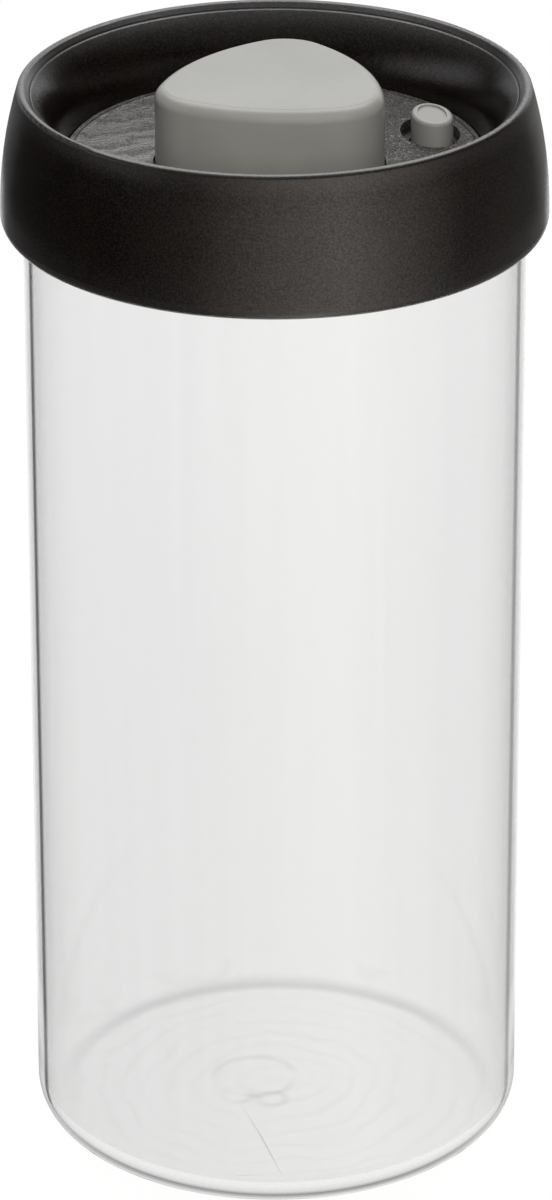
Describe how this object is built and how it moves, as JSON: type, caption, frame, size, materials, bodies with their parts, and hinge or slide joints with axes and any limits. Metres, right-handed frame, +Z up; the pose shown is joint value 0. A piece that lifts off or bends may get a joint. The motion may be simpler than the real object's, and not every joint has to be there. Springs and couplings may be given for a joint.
{
  "type": "vacuum food canister",
  "caption": "Tall round glass food jar with a black lid that holds a grey push pump, a small oval release button and a silicone seal.",
  "frame": {"origin": "centre of the jar's foot, on the surface it stands on", "axes": "+Z up along the jar's axis; the picture looks along +Y, so -Y faces the viewer and +X is to the right"},
  "size_m": [0.1086, 0.1086, 0.2276],
  "materials": {
    "clear_glass": "clear blown borosilicate glass",
    "black_shell": "fine-textured satin black moulding",
    "dark_grain": "dark grey moulded plate with fine embossed wood grain",
    "grey_button": "satin light grey moulding",
    "clear_silicone": "translucent silicone",
    "black_rubber": "matte black rubber",
    "white_plastic": "plain natural moulding",
    "screw_steel": "zinc-plated steel",
    "spring_steel": "drawn stainless wire",
    "filter_felt": "thin pressed felt"
  },
  "bodies": {
    "jar": {"glass_jar": "clear_glass"},
    "lid": {"lid_shell": "black_shell", "deck_plate": "dark_grain", "lid_base": "black_shell", "jar_gasket": "clear_silicone", "lid_screws": "screw_steel", "pump_cylinder": "white_plastic", "cylinder_ring": "clear_silicone", "cylinder_screws": "screw_steel", "cylinder_cap": "white_plastic", "inlet_valve": "clear_silicone", "filter_disc": "filter_felt", "inlet_grille": "white_plastic", "pump_spring": "spring_steel", "release_spring": "spring_steel"},
    "pump": {"pump_button": "grey_button", "piston_head": "white_plastic", "piston_seal": "black_rubber", "piston_flap": "black_rubber", "piston_screw": "screw_steel"},
    "release": {"release_button": "grey_button", "release_shaft": "white_plastic", "release_seal": "black_rubber", "release_clip": "spring_steel"}
  },
  "joints": [
    {"name": "lid_lift", "type": "slide", "parent": "jar", "child": "lid", "axis": [0, 0, 1], "range_m": [0, 0.06]},
    {"name": "pump_press", "type": "slide", "parent": "lid", "child": "pump", "axis": [0, 0, -1], "range_m": [0, 0.01], "stiffness_N_per_m": 1500, "springref_m": -0.004, "deforming": ["pump_spring"]},
    {"name": "release_press", "type": "slide", "parent": "lid", "child": "release", "axis": [0, 0, -1], "range_m": [0, 0.0025], "stiffness_N_per_m": 400, "springref_m": -0.003, "deforming": ["release_spring"]}
  ]
}
